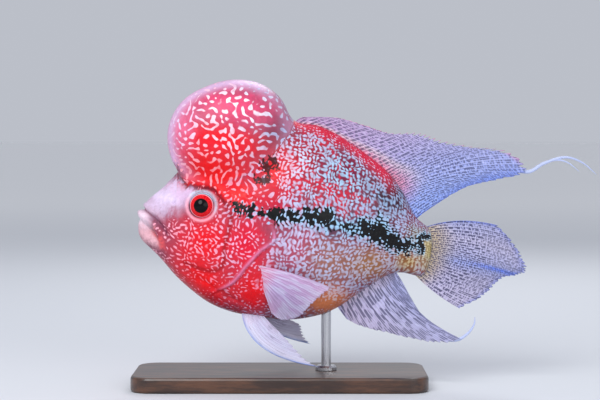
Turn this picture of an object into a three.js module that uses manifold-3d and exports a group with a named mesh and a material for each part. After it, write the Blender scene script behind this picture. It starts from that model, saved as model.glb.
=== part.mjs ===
// A flowerhorn cichlid, life size, as a still museum model held over a flat base by one rod.
// Millimetres, +Z up. The fish heads towards -X, its left side faces -Y, and X = Y = Z = 0 is the
// middle of the base's underside. The fish is drawn level in its own group, round a point in the
// middle of its flank, and the group lifts it and tips its nose up.
import * as THREE from "three";
import { mergeVertices } from "three/addons/utils/BufferGeometryUtils.js";
import Module from "manifold-3d";

const wasm = await Module();
wasm.setup();

// The pose and the stand
const NOSE_UP_DEG = 8; // pitch of the body axis
const AXIS_HEIGHT = 104.7; // from the floor to the middle of the flank
const BASE_LENGTH = 190;
const BASE_WIDTH = 78;
const BASE_THICK = 10;
const BASE_CORNER = 12;
const BASE_BEVEL = 1.6;
const ROD_X = 30; // behind the pelvic fins, ahead of the anal fin
const ROD_RADIUS = 3.2;
const COLLAR_RADIUS = 7;
const COLLAR_THICK = 3;

// Gaps and root depths
const GAP = 0.3; // between nodes that touch
const ROOT_SINK = 4; // how far a fin is carried into the flesh before it is cut to fit
const FLAP_RISE = 0.9; // how far a gill cover stands proud
const FLAP_DEPTH = 1.8; // how far it reaches under the skin
const GILL_INNER = 5; // the covers stop this far from the middle of the throat

// The body, as stations from the chin to the end of the tail stalk:
// x, height of the back, height of the belly, half width, level of the widest point (0 belly to 1 back)
const BODY = [
  [-91.4, -12, -12, 0, 0.5],
  [-91, -7, -16.6, 4, 0.5],
  [-89, 1, -21, 7, 0.5],
  [-85.5, 7, -24, 9.6, 0.48],
  [-79, 13.4, -28.2, 12.6, 0.45],
  [-71.5, 24, -34.2, 15.8, 0.42],
  [-62, 33, -42.6, 19.2, 0.42],
  [-51, 40, -50, 22.4, 0.44],
  [-38, 48, -57, 24.6, 0.47],
  [-22, 58, -60.8, 26.4, 0.5],
  [-4, 66.6, -61.4, 27.6, 0.5],
  [12, 68.4, -60.8, 27.4, 0.5],
  [27, 64.6, -57.2, 25.4, 0.5],
  [42, 57.6, -50.2, 22, 0.5],
  [56, 50, -37.6, 17.8, 0.5],
  [68, 42, -27, 13.4, 0.48],
  [78, 30.6, -20.6, 9.6, 0.48],
  [86, 18.6, -20, 7, 0.48],
  [94, 14, -21.4, 5, 0.48],
  [99, 10, -18, 3.2, 0.5],
  [100.4, -4, -4, 0, 0.5],
];
const BACK_POWER = 1.85; // section above the widest point: 2 is an ellipse, less is more pointed
const BELLY_POWER = 2.25; // section below it

// The nuchal hump: a cushion round its own middle, with the distance from there to its outline
// every 30 degrees, from the tail side up over the crown
const HUMP_MIDDLE = [-42, 52];
const HUMP_REACH = [40, 43.5, 41.7, 37.6, 35.3, 37.2, 38.7, 38.9, 38.2, 36, 35, 36.5];
const HUMP_HALF_WIDTH = 28.5;
const HUMP_POWER = 2.3;

// Eyes, lips and nostrils
const EYE = { x: -51.2, z: 6.2, radius: 9, sunk: 5.6, rim: 9.3, rimThick: 1.5, forward: 6 };
const UPPER_LIP = { corner: [-75.6, 11.6, -9.6], side: [-83.6, 8.2, -2.6], tip: [-86.6, 0, 1.6], thick: 2.5 };
const LOWER_LIP = { corner: [-76.6, 12.2, -14], side: [-85.6, 8.4, -10.4], tip: [-88.6, 0, -8.2], thick: 3 };
const MOUTH = { corner: [-75.2, -11.2], front: [-95, 2.6], gape: 1.5 };
const NOSTRIL = { x: -69.5, z: 5.4, radius: 1.5 };

// Rings and sides of the faceted surfaces
const BODY_RINGS = 38;
const BODY_SIDES = 30;
const HUMP_RINGS = 16;
const HUMP_SIDES = 30;

const { sin, cos, abs, sign, min, max, floor, PI } = Math;
const rad = THREE.MathUtils.degToRad;
const lerp = THREE.MathUtils.lerp;

// A smooth curve through the rows of a table, with u from 0 at the first to 1 at the last.
function through(rows, u) {
  const p = u * (rows.length - 1);
  const i = min(max(floor(p), 0), rows.length - 2);
  const t = p - i;
  const row = (k) => rows[min(max(k, 0), rows.length - 1)];
  return rows[0].map((_, c) => {
    const [a, b, d, e] = [row(i - 1)[c], row(i)[c], row(i + 1)[c], row(i + 2)[c]];
    return b + 0.5 * t * (d - a + t * (2 * a - 5 * b + 4 * d - e + t * (3 * (b - d) + e - a)));
  });
}

// The same for a ring of numbers, with u from 0 to 1 once round.
function round(values, u) {
  const n = values.length;
  const p = (((u % 1) + 1) % 1) * n;
  const i = floor(p);
  const t = p - i;
  const [a, b, d, e] = [-1, 0, 1, 2].map((k) => values[(i + k + n) % n]);
  return b + 0.5 * t * (d - a + t * (2 * a - 5 * b + 4 * d - e + t * (3 * (b - d) + e - a)));
}

// A closed three.js geometry as a manifold-3d solid, with its faces turned outwards.
function solidOf(geometry) {
  const bare = geometry.clone();
  bare.deleteAttribute("normal");
  bare.deleteAttribute("uv");
  const merged = mergeVertices(bare, 1e-3);
  const corners = merged.index.array;
  const triVerts = [];
  for (let i = 0; i < corners.length; i += 3) {
    const [a, b, c] = corners.subarray(i, i + 3);
    if (a !== b && b !== c && c !== a) triVerts.push(a, b, c);
  }
  const build = (order) =>
    new wasm.Manifold(
      new wasm.Mesh({
        numProp: 3,
        vertProperties: new Float32Array(merged.attributes.position.array),
        triVerts: new Uint32Array(order),
      }),
    );
  const made = build(triVerts);
  return made.volume() > 0 ? made : build(triVerts.reverse());
}

// A solid's largest closed surface as a geometry, dropping loose scraps.
function geometryOf(solid) {
  const pieces = solid.decompose();
  const largest = pieces.reduce((a, b) => (b.volume() > a.volume() ? b : a));
  const { numProp, vertProperties, triVerts } = largest.getMesh();
  const points = new Float32Array((vertProperties.length / numProp) * 3);
  for (let i = 0; i < points.length / 3; i++) {
    points.set(vertProperties.subarray(i * numProp, i * numProp + 3), i * 3);
  }
  const geometry = new THREE.BufferGeometry();
  geometry.setAttribute("position", new THREE.BufferAttribute(points, 3));
  geometry.setIndex(new THREE.BufferAttribute(new Uint32Array(triVerts), 1));
  geometry.computeVertexNormals();
  return geometry;
}

// The same surface moved out along its normals, or in where distance is negative.
function grown(geometry, distance) {
  const bare = geometry.clone();
  bare.deleteAttribute("normal");
  bare.deleteAttribute("uv");
  const merged = mergeVertices(bare, 1e-3);
  merged.computeVertexNormals();
  const { position, normal } = merged.attributes;
  const point = new THREE.Vector3();
  const out = new THREE.Vector3();
  for (let i = 0; i < position.count; i++) {
    point.fromBufferAttribute(position, i);
    out.fromBufferAttribute(normal, i);
    point.addScaledVector(out, distance);
    position.setXYZ(i, point.x, point.y, point.z);
  }
  return merged;
}

// Turns the triangles of a closed geometry round where they face inwards.
function facingOut(geometry) {
  const { position } = geometry.attributes;
  const order = geometry.index.array;
  const corner = (k) => new THREE.Vector3().fromBufferAttribute(position, order[k]);
  let volume = 0;
  for (let i = 0; i < order.length; i += 3) volume += corner(i).dot(corner(i + 1).cross(corner(i + 2)));
  if (volume < 0) order.reverse();
  return geometry;
}

// A sphere whose points are moved by shape(along, turn): along runs from pole to pole, turn once round.
function ball(sides, rings, shape) {
  const geometry = new THREE.SphereGeometry(1, sides, rings);
  const { position, uv } = geometry.attributes;
  for (let i = 0; i < position.count; i++) {
    position.setXYZ(i, ...shape(1 - uv.getY(i), uv.getX(i)));
  }
  return facingOut(geometry);
}

// Point on the body: along from chin to tail stalk, angle from the back round the right side.
function bodyPoint(along, angle) {
  const [x, back, belly, half, share] = through(BODY, along);
  const level = lerp(belly, back, share);
  const upper = cos(angle) > 0;
  const power = 2 / (upper ? BACK_POWER : BELLY_POWER);
  const reach = upper ? back - level : level - belly;
  const bend = (v) => sign(v) * abs(v) ** power;
  return [x, half * bend(sin(angle)), level + reach * bend(cos(angle))];
}

// Half width of the body at a station x and a height z.
function sideAt(x, z) {
  let [low, high] = [0, 1];
  for (let i = 0; i < 30; i++) {
    const middle = (low + high) / 2;
    if (through(BODY, middle)[0] < x) low = middle;
    else high = middle;
  }
  const [, back, belly, half, share] = through(BODY, low);
  const level = lerp(belly, back, share);
  const [reach, power] = z > level ? [back - level, BACK_POWER] : [level - belly, BELLY_POWER];
  return half * max(0, 1 - abs((z - level) / reach) ** power) ** (1 / power);
}

function humpPoint(along, turn) {
  const reach = round(HUMP_REACH, turn);
  const bend = (v) => sign(v) * abs(v) ** (2 / HUMP_POWER);
  const out = reach * bend(sin(along * PI));
  const angle = turn * 2 * PI;
  return [
    HUMP_MIDDLE[0] + out * cos(angle),
    HUMP_HALF_WIDTH * bend(cos(along * PI)),
    HUMP_MIDDLE[1] + out * sin(angle),
  ];
}

// A tube that tapers along a curve through the points, with both ends closed.
function taperedTube(points, radii, sides, steps) {
  const curve = new THREE.CatmullRomCurve3(points.map((p) => new THREE.Vector3(...p)));
  const { tangents, normals, binormals } = curve.computeFrenetFrames(steps, false);
  return ball(sides, steps + 2, (along, turn) => {
    const k = min(max(Math.round(along * (steps + 2)) - 1, 0), steps);
    const end = along < 0.5 / (steps + 2) ? -1 : along > 1 - 0.5 / (steps + 2) ? 1 : 0;
    const radius = through(radii.map((r) => [r]), k / steps)[0];
    const centre = curve.getPointAt(k / steps);
    if (end) return centre.addScaledVector(tangents[k], end * radius * 0.6).toArray();
    const angle = turn * 2 * PI;
    return centre
      .addScaledVector(normals[k], radius * cos(angle))
      .addScaledVector(binormals[k], radius * sin(angle))
      .toArray();
  });
}

// A slab between two outlines in the fish's side view, from one y to another.
function slab(points, fromY, toY) {
  const shape = new THREE.Shape(points.map(([x, z]) => new THREE.Vector2(x, z)));
  const geometry = new THREE.ExtrudeGeometry(shape, { depth: toY - fromY, bevelEnabled: false });
  geometry.rotateX(PI / 2); // the outline's second axis stands up, and the depth runs towards -y
  geometry.translate(0, toY, 0);
  return solidOf(geometry);
}

// Points along a smooth side-view curve.
function curvePoints(points, count) {
  return new THREE.SplineCurve(points.map((p) => new THREE.Vector2(...p)))
    .getPoints(count)
    .map((p) => p.toArray());
}

/*
 * A fin. Its stations run from the leading edge to the trailing edge, and each is a ray:
 * root x, y, z, then the point it bends towards, then its tip. Rays stand proud of the membrane.
 */
function fin({ stations, rays, steps, rayThick, tipThick, web, notch = 0.03, wave = () => 0 }) {
  const columns = 2 * rays + 1;
  const middle = (t, s) => {
    const p = through(stations, t);
    const [root, bend, tip] = [0, 3, 6].map((k) => new THREE.Vector3(p[k], p[k + 1], p[k + 2]));
    const ray = new THREE.QuadraticBezierCurve3(root, bend, tip);
    if (s < 0) return root.addScaledVector(ray.getTangent(0), s * ROOT_SINK);
    const point = ray.getPoint(s);
    point.y += wave(t, s);
    return point;
  };
  const points = [[], []];
  const edge = 1e-3;
  for (let j = 0; j < columns; j++) {
    const t = j / (columns - 1);
    const onRay = j % 2 === 0;
    for (let i = -1; i <= steps; i++) {
      const reach = onRay || i < steps ? 1 : 1 - notch;
      const s = i < 0 ? -1 : (i / steps) * reach;
      const here = middle(t, s);
      const [t0, t1] = [max(0, t - edge), min(1, t + edge)];
      const [s0, s1] = [max(0, s - edge), min(1, max(0, s) + edge)];
      const across = middle(t1, max(0, s)).sub(middle(t0, max(0, s)));
      const normal = across.cross(middle(t, s1).sub(middle(t, s0))).normalize();
      const fade = max(0, s);
      const half = (onRay ? lerp(rayThick, tipThick, fade) : web) / 2;
      points[0].push(here.clone().addScaledVector(normal, half));
      points[1].push(here.clone().addScaledVector(normal, -half));
    }
  }
  const rows = steps + 2;
  const index = [];
  const quad = (a, b, c, d) => index.push(a, b, c, a, c, d);
  const at = (face, j, i) => face * columns * rows + j * rows + i;
  for (let j = 0; j < columns - 1; j++) {
    for (let i = 0; i < rows - 1; i++) {
      const cell = (face) => [at(face, j, i), at(face, j + 1, i), at(face, j + 1, i + 1), at(face, j, i + 1)];
      quad(...cell(0));
      const [a, b, c, d] = cell(1);
      index.push(a, c, b, a, d, c);
    }
    for (const i of [0, rows - 1]) {
      const strip = [at(0, j, i), at(1, j, i), at(1, j + 1, i), at(0, j + 1, i)];
      quad(...(i ? strip.reverse() : strip));
    }
  }
  for (let i = 0; i < rows - 1; i++) {
    for (const j of [0, columns - 1]) {
      const strip = [at(0, j, i), at(0, j, i + 1), at(1, j, i + 1), at(1, j, i)];
      quad(...(j ? strip.reverse() : strip));
    }
  }
  const geometry = new THREE.BufferGeometry().setFromPoints(points.flat());
  geometry.setIndex(index);
  return solidOf(geometry);
}

// Flesh: the body with its lips and the rims of its eyes
const bodySkin = ball(BODY_SIDES, BODY_RINGS, (along, turn) => bodyPoint(along, turn * 2 * PI));
const humpSkin = ball(HUMP_SIDES, HUMP_RINGS, humpPoint);
const body = solidOf(bodySkin);
const bodyOut = solidOf(grown(bodySkin, GAP));
const hump = solidOf(humpSkin);

function lip({ corner, side, tip, thick }) {
  const mirrored = ([x, y, z]) => [x, -y, z];
  const path = [corner, side, tip, mirrored(side), mirrored(corner)];
  return solidOf(taperedTube(path, [thick * 0.7, thick, thick, thick, thick * 0.7], 10, 16));
}

// Where an eye sits: its middle, sunk into the head, looking out and a little forward
function eyeFrame(side) {
  const out = new THREE.Vector3(-sin(rad(EYE.forward)), side * cos(rad(EYE.forward)), 0.04).normalize();
  const surface = new THREE.Vector3(EYE.x, side * sideAt(EYE.x, EYE.z), EYE.z);
  return { out, middle: surface.clone().addScaledVector(out, -EYE.sunk), surface };
}

function facing(geometry, { out }, at) {
  geometry.applyQuaternion(new THREE.Quaternion().setFromUnitVectors(new THREE.Vector3(0, 0, 1), out));
  geometry.translate(...at);
  return geometry;
}

function eyeBall(side, grow) {
  const frame = eyeFrame(side);
  const geometry = new THREE.SphereGeometry(EYE.radius + grow, 20, 12).rotateX(PI / 2);
  return solidOf(facing(geometry, frame, frame.middle));
}

function eyeRim(side) {
  const frame = eyeFrame(side);
  const geometry = new THREE.TorusGeometry(EYE.rim, EYE.rimThick, 7, 20);
  return solidOf(facing(geometry, frame, frame.surface.addScaledVector(frame.out, -0.9)));
}

function nostril(side) {
  const y = side * (sideAt(NOSTRIL.x, NOSTRIL.z) + 0.3);
  return solidOf(new THREE.SphereGeometry(NOSTRIL.radius, 8, 6).translate(NOSTRIL.x, y, NOSTRIL.z));
}

const SIDES = { left: -1, right: 1 };
let flesh = body.add(lip(UPPER_LIP)).add(lip(LOWER_LIP));
for (const side of Object.values(SIDES)) {
  flesh = flesh.add(eyeRim(side)).subtract(eyeBall(side, GAP)).subtract(nostril(side));
}

// Where the nodes of flesh part, as side-view lines
const FAR = 130;
const JAW_BACK = [MOUTH.corner, [-71, -22], [-70.6, -32], [-71.6, -48]];
const GILL_EDGE = [[-16, 18], [-6, 4], [-0.6, -8.4], [-9, -17], [-16.6, -28], [-24, -41], [-36, -52]];
const GILL_FRONT = [[-50, -50], [-40, -38], [-33.4, -30], [-32.4, -16], [-31, -2], [-27, 10]];
const HEAD_BACK = [[-20, 90], [-16, 30], [-8, 4], [-4, -8], [-12, -22], [-20, -40], [-24, -80]];
const TAIL_START = 71;

function jawSlab(grow) {
  const back = curvePoints(JAW_BACK, 8).map(([x, z]) => [x + grow, z + grow]);
  const [fx, fz] = MOUTH.front;
  const lower = grow ? [fx, fz + grow] : [fx, fz - MOUTH.gape];
  return slab([[fx, -FAR], lower, ...back, [back.at(-1)[0], -FAR]], -FAR, FAR);
}

// A closed side-view outline, clockwise as seen from the left side, moved outwards by a distance.
function widened(outline, distance) {
  const n = outline.length;
  return outline.map(([x, z], i) => {
    const [before, after] = [outline[(i + n - 1) % n], outline[(i + 1) % n]];
    const run = new THREE.Vector2(after[0] - before[0], after[1] - before[1]).setLength(distance);
    return [x - run.y, z + run.x];
  });
}

function gillSlab(side, grow) {
  const edge = [...curvePoints(GILL_EDGE, 14), ...curvePoints(GILL_FRONT, 9)];
  const outline = grow ? widened(edge, grow) : edge;
  const inner = GILL_INNER - grow;
  return side < 0 ? slab(outline, -FAR, -inner) : slab(outline, inner, FAR);
}

const behindHead = curvePoints(HEAD_BACK, 12);
const headSlab = slab([[-FAR, 90], ...behindHead, [-FAR, -80]], -FAR, FAR);
const torsoSlab = slab(
  [...behindHead.map(([x, z]) => [x + GAP, z]), [TAIL_START, -80], [TAIL_START, 90]].reverse(),
  -FAR,
  FAR,
);
const tailSlab = slab([[TAIL_START + GAP, -80], [FAR, -80], [FAR, 90], [TAIL_START + GAP, 90]], -FAR, FAR);

const outerFlap = solidOf(grown(bodySkin, FLAP_RISE));
const innerFlap = solidOf(grown(bodySkin, -FLAP_DEPTH));
const pocketFloor = solidOf(grown(bodySkin, -FLAP_DEPTH - GAP));
const gillCover = (side) => outerFlap.intersect(gillSlab(side, 0)).subtract(innerFlap);
let openFlesh = flesh;
for (const side of Object.values(SIDES)) {
  openFlesh = openFlesh.subtract(gillSlab(side, GAP).subtract(pocketFloor));
}

// Fins, as rays from the leading edge to the trailing edge
const DORSAL = [
  [-1, 0, 66, 2, 0, 70.6, 6, 0, 71.8],
  [12, 0, 66.5, 20, 0, 71.5, 28, 1, 74.2],
  [25, 0, 62.5, 36, 0, 68, 46, 2, 71.8],
  [38, 0, 57.6, 52, 0, 64, 63, 3, 69.3],
  [50, 0, 52, 68, 0, 62, 82, 4, 72],
  [60, 0, 46, 80, 0, 60, 96, 5, 69.4],
  [67, 0, 41, 92, 1, 62, 118, 6, 67.8],
  [72, 0, 37, 100, 1, 60, 140, 6, 68.2],
  [76, 0, 33, 106, 2, 54, 155, 5, 57.4],
  [80, 0, 28, 104, 2, 46, 137, 3, 49],
  [84, 0, 22, 98, 1, 36, 117, 1, 41.4],
  [87.5, 0, 16.5, 92, 0, 22, 97, 0, 26],
];
const DORSAL_FILAMENTS = [
  [[140, 4.6, 58], [155, 5, 56.6], [165, 5, 63.6], [178, 6, 69.4], [190, 8, 67.6], [201, 10, 61]],
  [[160, 5, 60.4], [171, 5.4, 66.4], [180, 6, 66.4], [189, 7, 61.4]],
];
const CAUDAL = [
  [95, 0, 12.4, 114, -1, 22.4, 140, -5, 19.6],
  [97, 0, 8.6, 120, -1, 15, 152.6, -5, 9],
  [98.6, 0, 4.4, 122, -1, 7, 159.4, -3, 0.8],
  [99, 0, 0, 124, 0, 0.6, 163.4, 0, -6.6],
  [99, 0, -4, 124, 1, -5, 159, 4, -10.6],
  [99, 0, -8, 122, 1, -11.6, 149, 6, -14.4],
  [98, 0, -12, 116, 2, -18, 143, 6, -22.4],
  [96, 0, -16, 112, 2, -25, 136.6, 5, -29.6],
  [91, 0, -19.6, 106, 1, -31.4, 124, 3, -38],
];
const ANAL = [
  [44, 0, -47, 48, 0, -51.6, 52, 0, -55],
  [50, 0, -42, 56, 0, -50.4, 63, -1, -58.4],
  [56, 0, -36.6, 66, 0, -49, 79, -2, -60],
  [62, 0, -31, 76, -1, -49, 98, -4, -61.4],
  [67, 0, -26.6, 84, -2, -48, 114, -6, -61],
  [70.6, 0, -23.8, 88, -2, -46, 127, -7, -57],
  [73, 0, -21.8, 88, -2, -40, 118.6, -6, -56],
  [75.6, 0, -20, 86, -1, -34, 105, -4, -50.6],
  [78, 0, -18.6, 83, 0, -24, 91, 0, -35.6],
];
const ANAL_FILAMENT = [[112, -5.4, -57.6], [123, -6.8, -57.8], [130, -7, -52.6], [133.4, -7, -46], [133.2, -7, -41]];

// The left pelvic fin hangs low, the right one is held further back; both as if on the right side
const PELVIC = {
  left: [
    [-17, 6, -58, -10.5, 12, -87, 38, 17, -86],
    [-14.2, 6.4, -58, -6, 12, -83, 31, 16, -84],
    [-11, 6.8, -58, -1.6, 11.6, -77.6, 24, 14, -79.4],
    [-7.6, 7, -58, 1.4, 11, -70, 16.5, 12, -73.4],
    [-4, 7, -58, 2, 9, -63, 9, 10, -67.8],
  ],
  right: [
    [-16, 6, -58, -2, 13, -74, 31.4, 19, -76.4],
    [-12.6, 6.4, -58, 2, 13, -72, 26.6, 18, -72.6],
    [-9, 6.8, -58, 6, 12, -69, 24, 16, -68],
    [-5.6, 7, -58, 8, 11, -64.4, 22, 14, -64],
    [-2, 7, -58, 6, 9, -60.6, 15, 11.4, -61.4],
  ],
};
const PECTORAL = [
  [-10, -26, 8, 14, -26.4, 38, 12, -33.4],
  [-8.6, -29, 8, 12, -33, 31.6, 13, -40],
  [-7.4, -32, 7, 8, -39, 26, 13, -47.4],
  [-6.4, -35, 6, 4, -45, 20.4, 12.6, -55.4],
  [-5.4, -38, 4, 0, -49, 10, 11, -59.4],
  [-4.6, -41, 2, -2, -47, 2.6, 8, -55.6],
];

const medianFin = { rayThick: 1.5, tipThick: 0.8, web: 0.6 };
const pairedFin = { rayThick: 1.3, tipThick: 0.8, web: 0.6 };

function filament(points, thick) {
  return solidOf(taperedTube(points, [thick, thick * 0.8, thick * 0.55, 0.35], 8, 18));
}

// Roots of a paired fin are set on the flank; bend and tip stand off it
function pectoralStations(side) {
  return PECTORAL.map(([x, z, bendOut, bx, bz, tx, tipOut, tz]) => [
    x,
    side * (sideAt(x, z) - 0.5),
    z,
    bx,
    side * (sideAt(bx, bz) + bendOut),
    bz,
    tx,
    side * (sideAt(tx, tz) + tipOut),
    tz,
  ]);
}

function pelvicStations(side, name) {
  return PELVIC[name].map((row) => row.map((v, k) => (k % 3 === 1 ? side * v : v)));
}

// Trims fins to the flesh and to the hump, with the gap between touching nodes
const humpOut = solidOf(grown(humpSkin, GAP));
const trimmed = (solid) => solid.subtract(bodyOut).subtract(humpOut);

const solids = new Map();
solids.set("head", openFlesh.intersect(headSlab).subtract(jawSlab(GAP)));
solids.set("lower_jaw", flesh.intersect(jawSlab(0)));
solids.set("nuchal_hump", hump.subtract(bodyOut));
solids.set("torso", openFlesh.intersect(torsoSlab));
solids.set("tail_stalk", openFlesh.intersect(tailSlab));
solids.set(
  "dorsal_fin",
  trimmed(
    fin({ stations: DORSAL, rays: 24, steps: 7, ...medianFin, wave: (t, s) => 2 * s * s * sin(7 * t) })
      .add(filament(DORSAL_FILAMENTS[0], 1.6))
      .add(filament(DORSAL_FILAMENTS[1], 0.9)),
  ),
);
solids.set(
  "caudal_fin",
  trimmed(fin({ stations: CAUDAL, rays: 16, steps: 7, ...medianFin, wave: (t, s) => 2 * s * s * sin(9 * t) })),
);
solids.set(
  "anal_fin",
  trimmed(
    fin({ stations: ANAL, rays: 14, steps: 7, ...medianFin, wave: (t, s) => 1.5 * s * s * sin(8 * t) }).add(
      filament(ANAL_FILAMENT, 1.5),
    ),
  ),
);
for (const [name, side] of Object.entries(SIDES)) {
  solids.set(`gill_cover_${name}`, gillCover(side));
  solids.set(`eye_${name}`, eyeBall(side, 0));
  solids.set(
    `pectoral_fin_${name}`,
    trimmed(fin({ stations: pectoralStations(side), rays: 12, steps: 7, ...pairedFin })),
  );
  solids.set(
    `pelvic_fin_${name}`,
    trimmed(fin({ stations: pelvicStations(side, name), rays: 6, steps: 9, ...pairedFin })),
  );
}

// The stand: a plinth and a rod with a collar, the rod cut to the belly above it
const fish = new THREE.Group();
fish.rotation.y = rad(NOSE_UP_DEG);
fish.position.z = AXIS_HEIGHT;
fish.updateMatrixWorld(true);

function plinth() {
  const [l, w, r] = [BASE_LENGTH / 2 - BASE_BEVEL, BASE_WIDTH / 2 - BASE_BEVEL, BASE_CORNER];
  const shape = new THREE.Shape();
  shape.absarc(l - r, w - r, r, 0, PI / 2);
  shape.absarc(-l + r, w - r, r, PI / 2, PI);
  shape.absarc(-l + r, -w + r, r, PI, 1.5 * PI);
  shape.absarc(l - r, -w + r, r, 1.5 * PI, 2 * PI);
  const geometry = new THREE.ExtrudeGeometry(shape, {
    depth: BASE_THICK - 2 * BASE_BEVEL,
    bevelThickness: BASE_BEVEL,
    bevelSize: BASE_BEVEL,
    bevelSegments: 2,
    curveSegments: 6,
  });
  return solidOf(geometry.translate(0, 0, BASE_BEVEL));
}

function rod() {
  const top = AXIS_HEIGHT;
  const profile = [
    [0, BASE_THICK + GAP],
    [COLLAR_RADIUS, BASE_THICK + GAP],
    [COLLAR_RADIUS, BASE_THICK + GAP + COLLAR_THICK * 0.6],
    [COLLAR_RADIUS * 0.8, BASE_THICK + GAP + COLLAR_THICK],
    [ROD_RADIUS, BASE_THICK + GAP + COLLAR_THICK],
    [ROD_RADIUS, top],
    [0, top],
  ];
  const geometry = new THREE.LatheGeometry(profile.map((p) => new THREE.Vector2(...p)), 24);
  return solidOf(geometry.rotateX(PI / 2).translate(ROD_X, 0, 0));
}

const worldBody = bodyOut.transform(fish.matrixWorld.toArray());
const stand = new Map([
  ["stand_base", plinth()],
  ["stand_rod", rod().subtract(worldBody)],
]);

// Colours
const material = (color, roughness, metalness = 0) =>
  new THREE.MeshStandardMaterial({ color, roughness, metalness });
const red = material(0xd8202c, 0.35);
const flank = material(0x8f9ac4, 0.35);
const finColour = material(0xb0a6d0, 0.45);
const eyeColour = material(0xc01018, 0.1);
const LOOKS = {
  head: red,
  lower_jaw: material(0xe08a90, 0.35),
  nuchal_hump: red,
  gill_cover_left: red,
  gill_cover_right: red,
  torso: flank,
  tail_stalk: flank,
  eye_left: eyeColour,
  eye_right: eyeColour,
  stand_base: material(0x2a211c, 0.4),
  stand_rod: material(0xb8b8bc, 0.25, 1),
};

const model = new THREE.Group();
model.add(fish);
for (const [group, nodes] of [
  [fish, solids],
  [model, stand],
]) {
  for (const [name, solid] of nodes) {
    const mesh = new THREE.Mesh(geometryOf(solid), LOOKS[name] ?? finColour);
    mesh.name = name;
    group.add(mesh);
  }
}

export default model;
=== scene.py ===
import math

import bmesh
import bpy
import numpy as np
from mathutils import Matrix, Vector
from mathutils.bvhtree import BVHTree


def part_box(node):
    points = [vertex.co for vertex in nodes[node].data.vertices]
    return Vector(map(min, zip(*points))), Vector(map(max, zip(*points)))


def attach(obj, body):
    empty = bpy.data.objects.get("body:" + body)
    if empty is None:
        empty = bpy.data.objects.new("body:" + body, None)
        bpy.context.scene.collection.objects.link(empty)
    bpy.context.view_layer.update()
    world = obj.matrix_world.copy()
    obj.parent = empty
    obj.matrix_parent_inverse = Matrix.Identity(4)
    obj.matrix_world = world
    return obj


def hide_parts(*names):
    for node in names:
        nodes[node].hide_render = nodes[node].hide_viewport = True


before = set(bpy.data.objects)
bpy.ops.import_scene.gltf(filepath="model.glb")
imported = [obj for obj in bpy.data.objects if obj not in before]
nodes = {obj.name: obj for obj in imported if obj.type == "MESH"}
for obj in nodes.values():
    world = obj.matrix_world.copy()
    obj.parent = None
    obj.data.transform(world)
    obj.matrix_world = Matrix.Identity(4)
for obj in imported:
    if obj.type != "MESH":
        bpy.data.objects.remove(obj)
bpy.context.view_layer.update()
scene = bpy.context.scene

# The fish's own level frame, in millimetres: x from nose to tail, y to its right side, z up
pose = {"noseUp": math.radians(8), "axisHeight": 104.7}
cosUp, sinUp = math.cos(pose["noseUp"]), math.sin(pose["noseUp"])


def toLevel(points):
    x, y, z = (np.asarray(points, float) * 1000).T
    z = z - pose["axisHeight"]
    return np.stack([x * cosUp - z * sinUp, y, x * sinUp + z * cosUp], 1)


def toRow(points):
    x, y, z = np.asarray(points, float).reshape(-1, 3).T
    return np.stack([x * cosUp + z * sinUp, y, pose["axisHeight"] - x * sinUp + z * cosUp], 1) / 1000


# Small tools for numbers and meshes
def smooth(low, high, value):
    t = np.clip((value - low) / (high - low), 0, 1)
    return t * t * (3 - 2 * t)


def linear(rgb):
    return np.array([((v / 255 + 0.055) / 1.055) ** 2.4 for v in rgb])


def through(rows, at):
    # a smooth curve through the rows of a table, at shares from 0 to 1 of its length
    rows = np.asarray(rows, float)
    last = len(rows) - 1
    p = np.asarray(at, float) * last
    i = np.clip(np.floor(p).astype(int), 0, last - 1)
    t = (p - i)[..., None]
    a, b, c, d = (rows[np.clip(i + k, 0, last)] for k in (-1, 0, 1, 2))
    return b + 0.5 * t * (c - a + t * (2 * a - 5 * b + 4 * c - d + t * (3 * (b - c) + d - a)))


def newObject(name, mesh):
    obj = bpy.data.objects.new(name, mesh)
    scene.collection.objects.link(obj)
    return obj


def meshOf(name, bm):
    mesh = bpy.data.meshes.new(name)
    bm.to_mesh(mesh)
    bm.free()
    mesh.polygons.foreach_set("use_smooth", [True] * len(mesh.polygons))
    return mesh


def corners(mesh):
    points = np.zeros(len(mesh.vertices) * 3)
    mesh.vertices.foreach_get("co", points)
    return points.reshape(-1, 3)


def setCorners(mesh, points):
    mesh.vertices.foreach_set("co", np.asarray(points, np.float32).ravel())
    mesh.update()


def attribute(mesh, name, kind, values):
    made = mesh.attributes.new(name, kind, "POINT")
    values = np.asarray(values, np.float32)
    if kind == "FLOAT_COLOR":
        values = np.concatenate([values, np.ones((len(values), 1), np.float32)], 1)
        made.data.foreach_set("color", values.ravel())
    elif kind == "FLOAT_VECTOR":
        made.data.foreach_set("vector", values.ravel())
    else:
        made.data.foreach_set("value", values.ravel())


# Small tools for materials
def newMaterial(name, **settings):
    made = bpy.data.materials.new(name)
    made.use_nodes = True
    tree = made.node_tree
    surface = tree.nodes["Principled BSDF"]
    for socket, value in settings.items():
        surface.inputs[socket.replace("_", " ")].default_value = value
    return made, tree, surface


def put(node, name, value):
    # links a socket to a node's input, or sets the input to a value
    if isinstance(value, bpy.types.NodeSocket):
        node.id_data.links.new(value, node.inputs[name])
    else:
        node.inputs[name].default_value = value


def add(tree, kind, sockets=None, **settings):
    made = tree.nodes.new("ShaderNode" + kind)
    for key, value in settings.items():
        setattr(made, key, value)
    for name, value in (sockets or {}).items():
        put(made, name, value)
    return made


def treeOf(*values):
    return next(v for v in values if isinstance(v, bpy.types.NodeSocket)).id_data


def calc(operation, *values):
    return add(treeOf(*values), "Math", dict(enumerate(values)), operation=operation).outputs[0]


def times(a, b):
    return calc("MULTIPLY", a, b)


def plus(a, b):
    return calc("ADD", a, b)


def minus(a, b):
    return calc("SUBTRACT", a, b)


def swing(value, reach):
    # a value from 0 to 1, turned into one that swings about zero
    return times(minus(value, 0.5), reach)


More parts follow.
